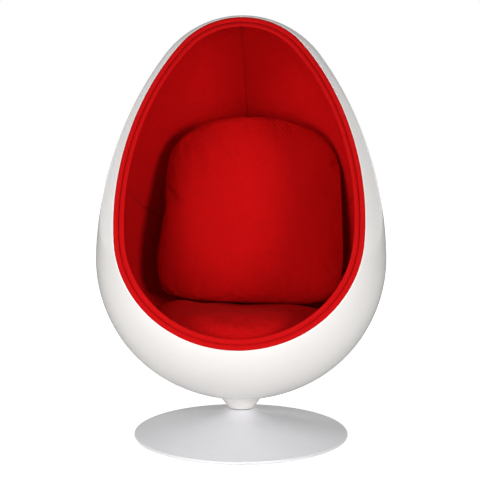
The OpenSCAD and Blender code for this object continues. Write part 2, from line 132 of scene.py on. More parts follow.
class LiningSettings(PropertyGroup):
    foam: length("Foam", "Foam between the shell and the lining", 0.017)
    cloth: length("Cloth", "Thickness of the lining", 0.002)
    start: length("Start", "Where the lining starts behind the opening's plane", 0.0153)
    seam_height: length("Seam distance", "Distance of the seam round the lining from the egg's centre", 0.259)
    seam_lean: slope("Seam fall", "Fall of the seam round the lining towards the back", 32)
    upright_lean: slope("Upright seam's lean", "Lean of the upright seam's lower end towards +X", 2.9)
    upright_hub: length("Upright hub", "Height over the egg's centre where the seam is in the middle", 0.634)
    loft: length("Loft", "How far the padding swells between the seams", 0.0018)
    seam_dip: length("Seam dip", "How deep the padding is drawn in along a seam", 0.0009)
    seam_width: length("Seam width", "Half width of the hollow along a seam", 0.0042)
    crease_dip: length("Crease", "How much deeper the seam's own crease is", 0.0008)
    crease_width: length("Crease width", "Half width of the seam's crease", 0.0014)
    stitch_pitch: length("Stitch pitch", "From one topstitch to the next", 0.0055)
    stitch_length: length("Stitch", "Length of a topstitch", 0.0042)
    thread: length("Thread", "Radius of the topstitching thread", 0.00045)
    stitch_reach: length("Stitch reach", "Distance of the topstitching from its seam", 0.0045)
    board_height: length("Board", "Height of the seat board's face, straight below the egg's centre", 0.276)
    board_rake: slope("Board's fall", "Fall of the seat board towards the back", 4)
    cloth_colour: paint("Lining", "Colour of the lining", "#C5070A")


class EdgingSettings(PropertyGroup):
    welt: length("Welt", "Thickness of the welt beside the shell's edge", 0.0092)
    roll: length("Roll", "Thickness of the padded roll beside the welt", 0.0114)
    gap: length("Gap", "Gap of each to its outer neighbour", 0.0003)
    reach: length("Reach", "How far both reach back from the opening's plane", 0.015)
    welt_proud: length("Welt proud", "How far the welt stands in front of the opening's plane", 0.0045)
    roll_proud: length("Roll proud", "How far the roll stands in front of the opening's plane", 0.006)
    overlap: length("Overlap", "How far the welt's front rolls out over the shell's cut edge", 0.0052)
    notch: length("Notch", "Width of the drawn-in joint at the top of the opening", 0.0030)
    cloth_colour: paint("Edging", "Colour of the welt and the roll", "#B8080B")


class BackSettings(PropertyGroup):
    half_width: length("Half width", "Half width of the back cushion's seam", 0.2930)
    half_height: length("Half height", "Half height of the back cushion's seam", 0.3054)
    crown: length("Crown", "Height of each face over the seam", 0.076)
    pucker: length("Pucker", "Depth of the puckers along the seam's upper end", 0.0022)
    squareness: share("Squareness", "Power of the outline, 2 for an ellipse", 5.4)
    taper: share("Taper", "How much narrower the upper end is", 0.054)
    arch: share("Arch", "How far the upper corners fall, as a share of the half height", 0.235)
    lean: slope("Lean", "Lean of the back cushion", 15)
    turn: slope("Turn", "Turn of the cushion's top towards +X", 1.9)
    shift: length("Shift", "Shift towards +X from the chair's middle", 0.0182)
    foot_y: length("Foot", "Distance of the lower end behind the column", 0.105)
    foot_z: length("Foot height", "Height of the lower end", 0.3905)
    cloth_colour: paint("Fabric", "Colour of the cushions", "#BB0608")


class SeatSettings(PropertyGroup):
    half_width: length("Half width", "Half width of the seat cushion's seam", 0.328)
    half_depth: length("Half depth", "Half depth of the seat cushion's seam", 0.316)
    thick: length("Thickness", "Thickness of the seat cushion at its crown", 0.124)
    waist: share("Waist", "Height of the seam over the board, as a share of the thickness", 0.4)
    squareness: share("Squareness", "Power of the outline, 2 for an ellipse", 2.15)
    front: length("Front", "How far the cushion's centre stands in front of the column", 0.036)
    bulge: length("Bulge", "Height of the swelling at the left end, beside the back cushion", 0.018)
    hollow: length("Hollow", "Depth of the hollow that the back cushion presses in", 0.014)
    droop: length("Droop", "How far the right end hangs", 0.012)
    pucker: length("Pucker", "Depth of the puckers on the front", 0.0034)


class StageSettings(PropertyGroup):
    high_power: power("High light", "Power of the light high at the left", 27)
    left_power: power("Left light", "Power of the light at the left", 22)
    right_power: power("Right light", "Power of the light at the right", 52)
    low_power: power("Low light", "Power of the light low at the left", 26)
    front_power: power("Front light", "Power of the light beside the camera", 4)
    room_level: share("Room", "Brightness of the room behind the chair", 0.40)
    wing_level: share("Wings", "How much brighter the room's sides are in reflections", 0.34)
    horizon_level: share("Horizon", "How much brighter the backdrop's foot is in reflections", 0.60)
    floor_glow: share("Floor glow", "Brightness that the camera sees on the floor round the chair", 0.74)


# Egg form


def arcs(radius, reach, angle):
    """End arc's centre and radius, and flank arc's centre and radius, of a quarter oval.

    The end arc is centred on the axis and the flank arc on the widest section. They are tangent where they
    meet, at the given angle from the axis."""
    end = (reach - radius) / (1 + math.tan(angle) - 1 / math.cos(angle))
    return end, reach - end, -end * math.tan(angle), radius + end * math.tan(angle)


class Egg:
    """Outer face of the shell: a quarter oval above the widest section and one below, turned about an axis
    that leans back. Places inside it are given by an inset under that face, a depth behind the opening's
    plane and a turn round the opening from its top."""

    def __init__(self, shell):
        self.upper = (*arcs(shell.radius, shell.rise, shell.tip_angle), math.tan(shell.tip_angle))
        self.lower = (*arcs(shell.radius, shell.fall, shell.pole_angle), math.tan(shell.pole_angle))
        self.axis = np.array([0, math.sin(shell.lean), math.cos(shell.lean)])
        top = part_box("outer_shell")[1][2]
        centre_z = top - self.upper[1] - self.upper[0] * math.cos(shell.lean)
        self.centre = np.array([0, -shell.forward, centre_z])
        self.across = np.array([1.0, 0, 0])
        self.back = np.array([0, math.cos(shell.mouth_lean), -math.sin(shell.mouth_lean)])
        self.up = np.array([0, math.sin(shell.mouth_lean), math.cos(shell.mouth_lean)])
        self.mouth = shell.mouth_front
        bend = shell.mouth_lean - shell.lean
        tip_c, tip_r = self.upper[:2]
        bowl_c, bowl_r = self.lower[2:4]
        low_way = self.mouth - bowl_c * math.cos(bend)
        high_way = self.mouth - tip_c * math.sin(bend)
        low = -bowl_c * math.sin(bend) - math.sqrt(bowl_r ** 2 - low_way ** 2)
        high = tip_c * math.cos(bend) + math.sqrt(tip_r ** 2 - high_way ** 2)
        self.mouth_middle = (high + low) / 2
        self.back_up = bowl_c * math.sin(bend)
        self.back_way = self.mouth + bowl_r + bowl_c * math.cos(bend)

    def inset_of(self, points):
        """Depth of points under the outer face: the ruling arc's radius less the distance to its centre."""
        away = points - self.centre
        along = away @ self.axis
        out = np.sqrt(np.maximum((away ** 2).sum(-1) - along ** 2, 0))
        above = along > 0
        ruling = [np.where(above, upper, lower) for upper, lower in zip(self.upper, self.lower)]
        end_c, end_r, flank_c, flank_r, spread = ruling
        along = abs(along)
        end = end_r - np.hypot(out, along - end_c)
        flank = flank_r - np.hypot(out - flank_c, along)
        return np.where((along - end_c) * spread > out, end, flank)

    def inward(self, points):
        """Unit direction in which the inset grows, from its change over a small step along each axis."""
        step = 0.0005
        rise = [self.inset_of(points + step * way) - self.inset_of(points - step * way) for way in np.eye(3)]
        rise = np.stack(rise, axis=-1)
        return rise / np.linalg.norm(rise, axis=-1, keepdims=True)

    def whole_depth(self, inset):
        """Depth of the hindmost point of the face moved in by inset."""
        return self.back_way - inset

    def place(self, inset, depth, turn):
        """Points at an inset, a depth and a turn, each on a ray from the middle of its section."""
        inset, depth, turn = np.broadcast_arrays(inset, depth, turn)
        progress = depth / self.whole_depth(inset)
        middle = self.mouth_middle + (self.back_up - self.mouth_middle) * progress
        start = self.centre + (depth - self.mouth)[..., None] * self.back + middle[..., None] * self.up
        ray = np.sin(turn)[..., None] * self.across + np.cos(turn)[..., None] * self.up
        return self.cast(start, ray, inset)

    def cast(self, start, ray, inset):
        """Points where rays from inside the egg meet the face moved in by an inset, by halving a step."""
        halvings = 40
        found = np.zeros(ray.shape[:-1])
        for step in 0.5 ** np.arange(1, halvings + 1):
            inside = self.inset_of(start + (found + step)[..., None] * ray) > inset
            found = np.where(inside, found + step, found)
        return start + found[..., None] * ray

    def depth_of(self, points):
        """Distance of points behind the opening's plane."""
        return (points - self.centre) @ self.back + self.mouth

    def turn_of(self, points):
        """Turn round the opening of each point, from its top and alike on both sides."""
        away = points - self.centre
        progress = self.depth_of(points) / self.back_way
        middle = self.mouth_middle + (self.back_up - self.mouth_middle) * progress
        return np.arctan2(abs(away[..., 0]), away @ self.up - middle)

    def keep_inside(self, points, inset):
        """Points moved in to the inset where they lie nearer to the outer face."""
        short = np.maximum(inset - self.inset_of(points), 0)
        return points + short[..., None] * self.inward(points)


# Meshes


def grid_faces(rows, columns, closed_rows=False, closed_columns=False):
    """Quads between neighbouring points of a grid, joined round where it is closed."""
    i = np.arange(rows if closed_rows else rows - 1)[:, None]
    j = np.arange(columns if closed_columns else columns - 1)[None, :]
    below = (i + 1) % rows
    beside = (j + 1) % columns
    quads = [i * columns + j, i * columns + beside, below * columns + beside, below * columns + j]
    return np.stack(np.broadcast_arrays(*quads), axis=-1).reshape(-1, 4)


def powered(value, power):
    """Signed power of a sine or cosine, which squares a round outline up."""
    return np.sign(value) * abs(value) ** (2 / power)


def set_weave(mesh, weave):
    """Gives every corner of the mesh its point's place on the cloth, in metres, as a UV map."""
    corners = np.empty(len(mesh.loops), dtype=np.int32)
    mesh.loops.foreach_get("vertex_index", corners)
    layer = mesh.uv_layers.new(name="weave")
    layer.uv.foreach_set("vector", weave[corners].astype(np.float32).ravel())


def make_piece(name, points, faces, weave=None):
    """Smooth mesh object from a list of points and faces."""
    mesh = bpy.data.meshes.new(name)
    mesh.from_pydata(points.reshape(-1, 3).tolist(), [], faces.tolist())
    if weave is not None:
        set_weave(mesh, weave.reshape(-1, 2))
    mesh.shade_smooth()
    piece = bpy.data.objects.new(name, mesh)
    bpy.context.scene.collection.objects.link(piece)
    return piece


def close_mesh(piece):
    """Merges doubled points, such as a pole's, and turns all faces outwards."""
    form = bmesh.new()
    form.from_mesh(piece.data)
    bmesh.ops.remove_doubles(form, verts=form.verts, dist=MERGE)
    bmesh.ops.recalc_face_normals(form, faces=form.faces)
    form.to_mesh(piece.data)
    form.free()
    piece.data.shade_smooth()


def finish_piece(piece, material, body, nodes):
    """Gives a piece its material, its body and the CAD nodes that it stands for."""
    piece.data.materials.clear()
    piece.data.materials.append(material)
    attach(piece, body)
    if nodes:
        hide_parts(*nodes)


def read_points(mesh):
    """Points of a mesh as an array."""
    points = np.empty(len(mesh.vertices) * 3)
    mesh.vertices.foreach_get("co", points)
    return points.reshape(-1, 3)


def write_points(mesh, points):
    """Puts points back into a mesh."""
    mesh.vertices.foreach_set("co", points.ravel())
    mesh.update()


# Materials


def add_node(tree, kind, inputs=None, output=0, **settings):
    """Adds a node, sets its settings, sets or links its inputs, and returns one of its outputs."""
    node = tree.nodes.new("ShaderNode" + kind)
    for name, value in settings.items():
        setattr(node, name, value)
    for name, value in (inputs or {}).items():
        if isinstance(value, bpy.types.NodeSocket):
            tree.links.new(value, node.inputs[name])
        else:
            node.inputs[name].default_value = value
    return node.outputs[output]


def new_material(name, inputs):
    """Material with one Principled shader, whose constants are set on its own sockets."""
    material = bpy.data.materials.new(name)
    material.use_nodes = True
    tree = material.node_tree
    shader = tree.nodes["Principled BSDF"]
    for key, value in inputs.items():
        shader.inputs[key].default_value = value
    material.diffuse_color = shader.inputs["Base Color"].default_value
    return material, tree, shader


def opaque(colour, level=1.0):
    """Colour with alpha, made lighter or darker by a factor."""
    return (*(min(c * level, 1.0) for c in colour), 1.0)


def tint(tree, shader, factor, dark, light):
    """Colour that goes from dark to light as the factor goes from 0 to 1. A Mix node's colours are its
    sockets 6 and 7, and its mixed colour is its output 2."""
    mixed = add_node(tree, "Mix", {"Factor": factor, 6: dark, 7: light}, 2, data_type="RGBA")
    tree.links.new(mixed, shader.inputs["Base Color"])


def relief(tree, shader, height, depth, strength):
    """Bump of a real depth in metres from a height between 0 and 1."""
    bump = add_node(tree, "Bump", {"Height": height, "Distance": depth, "Strength": strength}, "Normal")
    tree.links.new(bump, shader.inputs["Normal"])


def waves(tree, vector, axis, spacing):
    """Sine ridges across one axis, spaced by a length in metres and a little uneven."""
    look = {
        "Vector": vector,
        "Scale": RIDGE_PITCH / spacing,
        "Distortion": 0.6,
        "Detail": 1.0,
        "Detail Scale": 2.0,
    }
    shape = {"wave_type": "BANDS", "bands_direction": axis, "wave_profile": "SIN"}
    return add_node(tree, "TexWave", look, "Fac", **shape)


def grain(tree, vector, size, detail=3.0, rough=0.55):
    """Noise whose patches have a size in metres."""
    look = {"Vector": vector, "Scale": 1 / size, "Detail": detail, "Roughness": rough}
    return add_node(tree, "TexNoise", look, "Fac")


def weighted(tree, *parts):
    """Sum of values, each times its weight."""
    total = 0.0
    for value, weight in parts:
        part = add_node(tree, "Math", {0: value, 1: weight}, operation="MULTIPLY")
        total = add_node(tree, "Math", {0: total, 1: part}, operation="ADD")
    return total


def wool_cloth(name, colour, spacing):
    """Woven wool upholstery cloth, plain weave: matt, with a soft bloom from loose fibres at grazing angles,
    and shade painted into its colour where the threads dip between their crossings. The threads are about
    1 mm apart on the real cloth, and are drawn at the given spacing so that they show."""
    material, tree, shader = new_material(
        name,
        {
            "Base Color": opaque(colour),
            "Roughness": 0.92,
            "Specular IOR Level": 0.08,
            "Sheen Weight": 0.05,
            "Sheen Roughness": 0.4,
            "Sheen Tint": opaque(linear("#E73F38")),
        },
    )
    cloth = add_node(tree, "TexCoord", output="UV")
    solid = add_node(tree, "TexCoord", output="Object")
    warp = waves(tree, cloth, "X", spacing)
    weft = waves(tree, cloth, "Y", spacing)
    threads = add_node(tree, "Math", {0: warp, 1: weft}, operation="MULTIPLY")
    slubs = grain(tree, cloth, size=3 * spacing, detail=4.0, rough=0.7)
    patches = grain(tree, solid, size=0.05)
    # Painted shade where the threads dip between their crossings, mixed with the cloth's own random tone from
    # slubs and patches
    tone = weighted(tree, (threads, 0.45), (slubs, 0.35), (patches, 0.25))
    tint(tree, shader, tone, opaque(colour, level=0.72), opaque(colour, level=1.30))
    bumps = add_node(tree, "Math", {0: threads, 1: slubs}, operation="ADD")
    relief(tree, shader, bumps, depth=0.0004, strength=0.5)
    return material


def gel_coat(colour):
    """Polyester gel coat on glass fibre, moulded in a polished female mould: glossy white with a faint
    orange peel."""
    material, tree, shader = new_material(
        "gel_coat",
        {
            "Base Color": opaque(colour),
            "Roughness": 0.5,
            "IOR": 1.5,
            "Specular IOR Level": 0.2,
            "Coat Weight": 0.9,
            "Coat Roughness": 0.11,
        },
    )
    solid = add_node(tree, "TexCoord", output="Object")
    cast = grain(tree, solid, size=0.12)
    tint(tree, shader, cast, opaque(colour, level=0.985), opaque(colour, level=1.01))
    relief(tree, shader, grain(tree, solid, size=0.006, detail=1.0), depth=0.00006, strength=0.25)
    return material


def satin_enamel(colour):
    """Stoved enamel on spun steel, satin: light grey, with broad soft reflections and the faint rings that
    spinning leaves, 4 mm apart."""
    material, tree, shader = new_material(
        "satin_enamel",
        {
            "Base Color": opaque(colour),
            "Roughness": 0.4,
            "IOR": 1.5,
            "Specular IOR Level": 0.4,
            "Coat Weight": 0.5,
            "Coat Roughness": 0.22,
        },
    )
    solid = add_node(tree, "TexCoord", output="Object")
    look = {"Vector": solid, "Scale": RIDGE_PITCH / 0.004, "Distortion": 0.4, "Detail": 1.0}
    rings = add_node(tree, "TexWave", look, "Fac", wave_type="RINGS", rings_direction="Z", wave_profile="SIN")
    tint(tree, shader, grain(tree, solid, size=0.05), opaque(colour, level=0.98), opaque(colour, level=1.02))
    relief(tree, shader, rings, depth=0.00003, strength=0.15)
    return material


def plain_finish(name, code, roughness, size, contrast, depth, metallic=0.0):
    """Finish of one colour with grain: patches of a size, a share lighter and darker, and a relief."""
    colour = linear(code)
    inputs = {"Base Color": opaque(colour), "Roughness": roughness, "Metallic": metallic}
    material, tree, shader = new_material(name, inputs)
    speck = grain(tree, add_node(tree, "TexCoord", output="Object"), size)
    tint(tree, shader, speck, opaque(colour, 1 - contrast), opaque(colour, 1 + contrast))
    relief(tree, shader, speck, depth, strength=0.5)
    return material


def birch_plywood():
    """Bare birch plywood: pale veneers about 1.5 mm thick that show as stripes on the cut edge."""
    colour = linear("#C79F6C")
    material, tree, shader = new_material("birch_plywood", {"Base Color": opaque(colour), "Roughness": 0.7})
    solid = add_node(tree, "TexCoord", output="Object")
    plies = waves(tree, solid, "Z", spacing=0.003)
    figure = grain(tree, solid, size=0.02, detail=5.0, rough=0.65)
    tone = weighted(tree, (plies, 0.5), (figure, 0.5))
    tint(tree, shader, tone, opaque(colour, level=0.7), opaque(colour, level=1.15))
    relief(tree, shader, figure, depth=0.0002, strength=0.4)
    return material


# Pieces


def replace_with_shell(shell):
    """Outer shell: rows of points parallel to the opening run over the outer face from its hindmost point,
    round the cut edge and back over the inner face. The rows crowd towards the edge as a sine does towards
    its start, and the edge has a quarter round at each corner."""
    around, rows, corner_rows = 288, 120, 5
    egg = Egg(shell)
    turn = np.linspace(0, 2 * np.pi, around, endpoint=False)[None, :]
    ease = np.sin(np.linspace(1, 0, rows) * np.pi / 2)
    lip = shell.lip_round
    start = lip / egg.whole_depth(0)
    outer_depth = egg.whole_depth(0) * (start + (1 - start) * ease)
    inner_depth = lip + (egg.whole_depth(shell.wall) - lip) * ease[::-1]
    corner = np.linspace(0, np.pi / 2, corner_rows + 2)[1:-1]
    corner_in = np.concatenate([lip * (1 - np.cos(corner)), [lip]])
    corner_depth = np.concatenate([lip * (1 - np.sin(corner)), [0]])
    inset = np.concatenate([
        np.zeros(rows),
        corner_in,
        [shell.wall / 2],
        shell.wall - corner_in[::-1],
        np.full(rows, shell.wall),
    ])
    depth = np.concatenate([outer_depth, corner_depth, [0], corner_depth[::-1], inner_depth])
    points = egg.place(inset[:, None], depth[:, None], turn)
    points[0] = points[0].mean(axis=0)
    points[-1] = points[-1].mean(axis=0)
    piece = make_piece("shell", points, grid_faces(inset.size, around, closed_columns=True))
    close_mesh(piece)
    finish_piece(piece, gel_coat(shell.gel_colour), "seat", ["outer_shell"])


def seam_planes(egg, lining):
    """Point and normal of the upright seam's plane and of the plane of the seam round the lining."""
    upright_normal = np.array([math.cos(lining.upright_lean), 0, math.sin(lining.upright_lean)])
    round_normal = np.array([0, math.sin(lining.seam_lean), math.cos(lining.seam_lean)])
    return [
        (egg.centre + [0, 0, lining.upright_hub], upright_normal),
        (egg.centre + lining.seam_height * round_normal, round_normal),
    ]


def lining_rise(points, planes, lining):
    """Height of the lining over the foam's padding: a loft between the seams, a bell-shaped hollow along each
    seam and a narrower crease in its middle."""
    apart = np.min([abs((points - point) @ normal) for point, normal in planes], axis=0)
    hollow = np.exp(-(apart / lining.seam_width) ** 2)
    crease = np.exp(-(apart / lining.crease_width) ** 2)
    return lining.loft * (1 - hollow) - lining.seam_dip * hollow - lining.crease_dip * crease


def padding_inset(shell, lining):
    """Inset of the lining's face between its seams, with a clearance for the cushions."""
    clearance = 0.0006
    return shell.wall + lining.foam + lining.cloth + lining.loft + clearance


def board_plane(egg, lining):
    """Point and normal of the seat board's upper face."""
    normal = np.array([0, math.sin(lining.board_rake), math.cos(lining.board_rake)])
    return egg.centre * [0, 1, 0] + [0, 0, lining.board_height], normal


def stitch_row(name, path, egg, lining, material):
    """Topstitching: round-ended threads one after another along a path over the lining. Each is a hexagonal
    tube between two points, carried along the path's direction and its inward normal. Its rings stand at
    shares of the stitch's length, and each has its share of the thread's thickness."""
    sides = 6
    stations = np.array([0, 0.08, 0.5, 0.92, 1])
    thick = np.array([0.15, 0.85, 1, 0.85, 0.15]) * lining.thread
    gone = np.concatenate([[0], np.cumsum(np.linalg.norm(np.diff(path, axis=0), axis=1))])
    start = np.arange(0, gone[-1] - lining.stitch_length, lining.stitch_pitch)
    spot = start[:, None] + stations * lining.stitch_length
    centre = np.stack([np.interp(spot, gone, path[:, k]) for k in range(3)], axis=-1)
    way = centre[:, -1:] - centre[:, :1]
    way = way / np.linalg.norm(way, axis=-1, keepdims=True)
    normal = egg.inward(centre)
    side = np.cross(np.broadcast_to(way, normal.shape), normal)
    turn = np.arange(sides) * 2 * np.pi / sides
    ring = np.cos(turn)[:, None] * normal[:, :, None] + np.sin(turn)[:, None] * side[:, :, None]
    points = centre[:, :, None] + thick[None, :, None, None] * ring
    faces = grid_faces(stations.size, sides, closed_columns=True)
    first = np.arange(start.size) * stations.size * sides
    faces = (first[:, None, None] + faces).reshape(-1, 4)
    piece = make_piece(name, points, faces)
    form = bmesh.new()
    form.from_mesh(piece.data)
    bmesh.ops.holes_fill(form, edges=[edge for edge in form.edges if edge.is_boundary])
    form.to_mesh(piece.data)
    form.free()
    close_mesh(piece)
    finish_piece(piece, material, "seat", [])


def stitch_lining(egg, lining, inner, material):
    """Twin topstitching along both seams of the lining. Each row lies in a plane beside its seam's plane, at
    the ends of rays turned about a point in that plane, and keeps the longest run that is on the lining."""
    rays = 2400
    planes = seam_planes(egg, lining)
    board_point, board_normal = board_plane(egg, lining)
    turn = np.linspace(0, 2 * np.pi, rays, endpoint=False)[:, None]
    starts = (("upright", -egg.up), ("round", -egg.back))
    for (name, first), (point, normal) in zip(starts, planes):
        first = first - (first @ normal) * normal
        first = first / np.linalg.norm(first)
        second = np.cross(normal, first)
        for side, row in ((-1, "a"), (1, "b")):
            middle = point + side * lining.stitch_reach * normal
            path = egg.cast(middle, np.cos(turn) * first + np.sin(turn) * second, inner)
            kept = egg.depth_of(path) > lining.start + lining.stitch_length
            kept &= (path - board_point) @ board_normal > lining.stitch_length
            kept = np.flatnonzero(kept)
            runs = np.split(kept, np.flatnonzero(np.diff(kept) > 1) + 1)
            path = path[max(runs, key=len)]
            path = path + lining_rise(path, planes, lining)[:, None] * egg.inward(path)
            stitch_row("%s_stitches_%s" % (name, row), path, egg, lining, material)


def cut_form(form, point, normal, clear):
    """Cuts a mesh along a plane, and clears away what lies behind it where asked."""
    whole = form.verts[:] + form.edges[:] + form.faces[:]
    bmesh.ops.bisect_plane(form, geom=whole, plane_co=point, plane_no=normal, clear_inner=clear)


def face_inwards(mesh, egg):
    """Turns all faces of an open mesh round if they look out of the egg."""
    normals = np.empty(len(mesh.polygons) * 3)
    mesh.polygons.foreach_get("normal", normals)
    centres = np.empty(len(mesh.polygons) * 3)
    mesh.polygons.foreach_get("center", centres)
    if (normals.reshape(-1, 3) * egg.inward(centres.reshape(-1, 3))).sum() < 0:
        mesh.flip_normals()


def lining_panel(node, egg, lining, inner, material):
    """Quarter of the sewn lining: a net of points on the foam's face, cut off at both seams and at the seat
    board, and raised by lining_rise. Its points crowd at the top and the bottom of the opening, where a sine
    slows the turn down, and further cuts beside each seam give the dip there its points."""
    around, rows, crowd = 300, 130, 0.30
    cuts = (0.0, 0.1, 0.2, 0.3, 0.45, 0.8, 1.2, 1.7, 2.4, 3.2)
    wall_share = 0.9
    sides = LINING_NODES[node]
    planes = seam_planes(egg, lining)
    part = np.linspace(-np.pi, np.pi, around, endpoint=False)[None, :]
    turn = part - crowd * np.sin(2 * part)
    ease = np.sin(np.linspace(0, 1, rows) * np.pi / 2)[:, None]
    depth = lining.start + (egg.whole_depth(inner) - lining.start) * ease
    points = egg.place(inner, depth, turn)
    points[-1] = points[-1].mean(axis=0)
    piece = make_piece(node + "_cloth", points, grid_faces(rows, around, closed_columns=True))
    form = bmesh.new()
    form.from_mesh(piece.data)
    bmesh.ops.remove_doubles(form, verts=form.verts, dist=MERGE)
    for side, (point, normal) in zip(sides, planes):
        for cut in cuts:
            place = point + side * cut * lining.seam_width * normal
            cut_form(form, place, side * normal, clear=cut == 0)
    cut_form(form, *board_plane(egg, lining), clear=True)
    form.to_mesh(piece.data)
    form.free()
    points = read_points(piece.data)
    points = points + lining_rise(points, planes, lining)[:, None] * egg.inward(points)
    write_points(piece.data, points)
    across = sides[0] * egg.turn_of(points) * CLOTH_TURN
    set_weave(piece.data, np.stack([across, egg.depth_of(points)], axis=-1))
    face_inwards(piece.data, egg)
    piece.data.shade_smooth()
    wall = piece.modifiers.new("wall", "SOLIDIFY")
    wall.thickness = lining.cloth * wall_share
    wall.offset = -1
    finish_piece(piece, material, "seat", [node])


def edging_tube(name, node, egg, insets, proud, overlap, edging, material):
    """Padded tube round the opening. Its section is a squared ellipse between two insets, from proud in front
    of the opening's plane to the edging's reach behind it. Products of sines give it faint puckers, and a
    bell-shaped dip at the top is its joint. In front of the plane it rolls outwards by the overlap."""
    around, rows, squareness = 720, 40, 2.6
    # Shares of the section's size that the puckers and the joint take
    pucker, joint_dip = 0.012, 0.08
    # Depth in front of the plane at which the overlap is full, and radii of the opening's top and of the tube
    full_roll, top_radius, tube_radius = 0.0006, 0.5, 0.006
    outer, inner = insets
    reach = edging.reach
    turn = np.linspace(-np.pi, np.pi, around, endpoint=False)[:, None]
    round_way = np.linspace(0, 2 * np.pi, rows, endpoint=False)[None, :]
    ripple = np.sin(37 * turn) * np.sin(11 * turn + 1) + 0.6 * np.sin(83 * turn + 2) * np.sin(5 * turn)
    swell = 1 + pucker * ripple - joint_dip * bell(turn * top_radius, 0, edging.notch)
    inset = (outer + inner) / 2 + (inner - outer) / 2 * swell * powered(np.cos(round_way), squareness)
    depth = (reach - proud) / 2 + (reach + proud) / 2 * swell * powered(np.sin(round_way), squareness)
    inset = np.clip(inset, outer, inner)
    inset = inset - overlap * np.clip(-depth / full_roll, 0, 1) * (inner - inset) / (inner - outer)
    points = egg.place(inset, depth, turn)
    weave = np.stack(np.broadcast_arrays(turn * CLOTH_TURN, round_way * tube_radius), axis=-1)
    piece = make_piece(name, points, grid_faces(around, rows, True, True), weave)
    close_mesh(piece)
    finish_piece(piece, material, "seat", [node])


def cushion_net(squareness, side_power, crown_power):
    """Square net over one face of a cushion, as shares of its half width, half length and crown.

    Each square ring of the net is drawn to a ring of the squared ellipse, and the rings crowd towards the
    seam. The height is one less the distance from the middle to the side's power, and that to one over the
    crown's power."""
    line = np.linspace(-1, 1, NET_STEPS)
    u, v = np.meshgrid(line, line)
    ring = np.maximum(abs(u), abs(v))
    safe = np.where(ring > 0, ring, 1)
    corner = np.where(ring > 0, (abs(u) / safe) ** squareness + (abs(v) / safe) ** squareness, 1)
    corner = corner ** (-1 / squareness)
    spread = 1 - (1 - ring) ** (1 + (crown_power - 1) * ring)
    scale = np.where(ring > 0, spread / safe, 1) * (1 - ring ** 2 * (1 - corner))
    x, y = u * scale, v * scale
    out = np.minimum((abs(x) ** squareness + abs(y) ** squareness) ** (1 / squareness), 1)
    return x, y, (1 - out ** side_power) ** (1 / crown_power)


def cushion_faces():
    """Quads of both faces of a cushion, which share the points of their edge, and a mask of the net's points
    that don't lie on that edge. The second face's own points follow the first face's."""
    front = np.arange(NET_STEPS * NET_STEPS).reshape(NET_STEPS, NET_STEPS)
    inner = np.zeros(front.shape, dtype=bool)
    inner[1:-1, 1:-1] = True
    rear = front.copy()
    rear[inner] = front.size + np.arange(inner.sum())
    sheets = []
    for sheet, way in ((front, 1), (rear, -1)):
        quads = np.stack([sheet[:-1, :-1], sheet[:-1, 1:], sheet[1:, 1:], sheet[1:, :-1]], axis=-1)
        sheets.append(quads.reshape(-1, 4)[:, ::way])
    return np.concatenate(sheets), inner


def turned(points, angle, axis):
    """Points turned by an angle about one of the axes, 0 for X and 2 for Z."""
    c, s = math.cos(angle), math.sin(angle)
    first, second = ((1, 2), None, (0, 1))[axis]
    result = points.copy()
    result[..., first] = c * points[..., first] - s * points[..., second]
    result[..., second] = s * points[..., first] + c * points[..., second]
    return result


def inflate(piece, held, pressure, cap):
    """Blows the closed mesh up as cloth under inner pressure, with some points held and the cloth cut a
    little too large, and keeps every point within the cap of where it started."""
    frames = 20
    fullness = 0.004
    start = read_points(piece.data)
    group = piece.vertex_groups.new(name="held")
    group.add(np.flatnonzero(held).tolist(), 1.0, "REPLACE")
    cloth = piece.modifiers.new("Cloth", "CLOTH")
    cloth.settings.quality = 6
    cloth.settings.mass = 0.4
    cloth.settings.tension_stiffness = 20
    cloth.settings.compression_stiffness = 20
    cloth.settings.shear_stiffness = 8
    cloth.settings.bending_stiffness = 0.8
    cloth.settings.vertex_group_mass = group.name
    cloth.settings.use_pressure = True
    cloth.settings.uniform_pressure_force = pressure
    cloth.settings.shrink_min = -fullness
    cloth.settings.effector_weights.gravity = 0
    cloth.point_cache.frame_start = 1
    cloth.point_cache.frame_end = frames
    scene = bpy.context.scene
    for number in range(1, frames + 1):
        scene.frame_set(number)
    ready = piece.evaluated_get(bpy.context.evaluated_depsgraph_get())
    moved = read_points(ready.data) - start
    way = np.linalg.norm(moved, axis=1, keepdims=True)
    moved = moved * np.minimum(1, cap / np.maximum(way, MERGE))
    piece.modifiers.remove(cloth)
    piece.vertex_groups.remove(group)
    scene.frame_set(1)
    write_points(piece.data, start + moved)


def stuff(piece, held, pressure, cap, egg, inset):
    """Blows a cushion up and moves it in to the inset where it reaches into the lining."""
    inflate(piece, held, pressure, cap)
    write_points(piece.data, egg.keep_inside(read_points(piece.data), inset))


def refine(piece):
    """Subdivides the cushion once, so that fine puckers can be drawn on it."""
    smooth = piece.modifiers.new("smooth", "SUBSURF")
    smooth.levels = smooth.render_levels = 1
    ready = piece.evaluated_get(bpy.context.evaluated_depsgraph_get())
    mesh = bpy.data.meshes.new_from_object(ready)
    piece.modifiers.remove(smooth)
    piece.data = mesh
    mesh.shade_smooth()


def pucker(piece, axes, origin, height):
    """Moves each point in along its normal by a depth worked out from its place on the cushion, whose axes
    run across it, along it and out of its front face."""
    points = read_points(piece.data)
    normals = np.empty(points.size)
    piece.data.vertices.foreach_get("normal", normals)
    across, along, out = ((points - origin) @ axes.T).T
    write_points(piece.data, points - height(across, along, out)[:, None] * normals.reshape(-1, 3))


def bell(value, middle, reach):
    """One at the middle, falling to nothing a few reaches away."""
    return np.exp(-(((value - middle) / reach) ** 2))


def ridges(distance, spacing, sway=0.0):
    """Sine ridges between 0 and 1 at a spacing, moved to and fro by an angle."""
    return 0.5 + 0.5 * np.sin(2 * np.pi * distance / spacing + sway)


